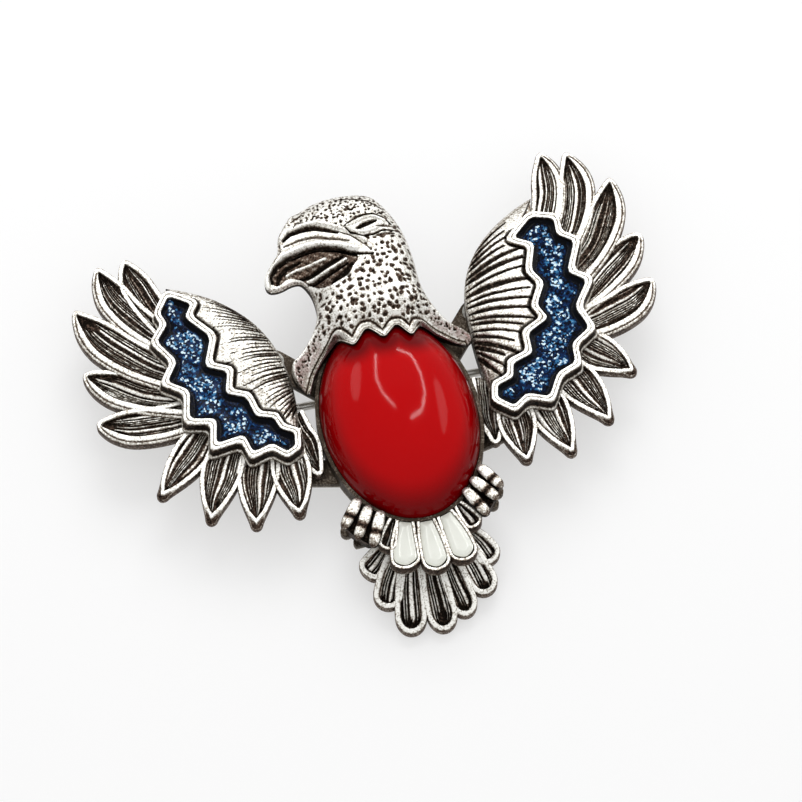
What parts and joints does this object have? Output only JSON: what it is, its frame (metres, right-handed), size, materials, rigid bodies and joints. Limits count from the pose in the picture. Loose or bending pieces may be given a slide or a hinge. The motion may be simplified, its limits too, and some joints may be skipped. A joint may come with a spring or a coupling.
{
  "type": "eagle brooch",
  "caption": "Spread-wing eagle brooch in antiqued metal with a domed red stone, glitter-enamel wings, a white-enamel tail and a hinged pin with a safety catch.",
  "frame": {"origin": "middle of the brooch's outline, on the surface that it lies on with its face up", "axes": "+X across the wings to the viewer's right, +Y up to the eagle's head, +Z out of its face"},
  "size_m": [0.0678, 0.0531, 0.0132],
  "materials": {
    "antique_silver": "cast white metal with a dark antiqued wash, polished on its high edges",
    "red_stone": "polished opaque resin cabochon",
    "blue_enamel": "clear-coated navy glitter enamel",
    "white_enamel": "glossy off-white enamel",
    "cement": "cured epoxy cement",
    "solder": "dull soft solder",
    "pin_steel": "nickel-plated drawn and stamped steel"
  },
  "bodies": {
    "brooch": {"back_cup": "antique_silver", "cabochon": "red_stone", "cabochon_cement": "cement", "head": "antique_silver", "left_wing": "antique_silver", "right_wing": "antique_silver", "left_covert": "antique_silver", "right_covert": "antique_silver", "left_wing_enamel": "blue_enamel", "right_wing_enamel": "blue_enamel", "tail_fan": "antique_silver", "rump_fan": "antique_silver", "tail_enamel": "white_enamel", "left_talon": "antique_silver", "right_talon": "antique_silver", "solder_joints": "solder", "pin_hinge": "pin_steel", "hinge_rivet": "pin_steel", "pin_catch": "pin_steel"},
    "stem": {"pin_stem": "pin_steel"},
    "rotor": {"catch_rotor": "pin_steel"}
  },
  "joints": [
    {"name": "stem_hinge", "type": "hinge", "parent": "brooch", "child": "stem", "pos_m": [-0.01348, 0.0044, 0.0016], "axis": [0.0558, 0.9984, 0], "range_deg": [0, 110]},
    {"name": "catch_turn", "type": "hinge", "parent": "brooch", "child": "rotor", "pos_m": [0.01348, 0.0029, 0.0016], "axis": [0.9984, -0.0558, 0], "range_deg": [0, 95]}
  ]
}
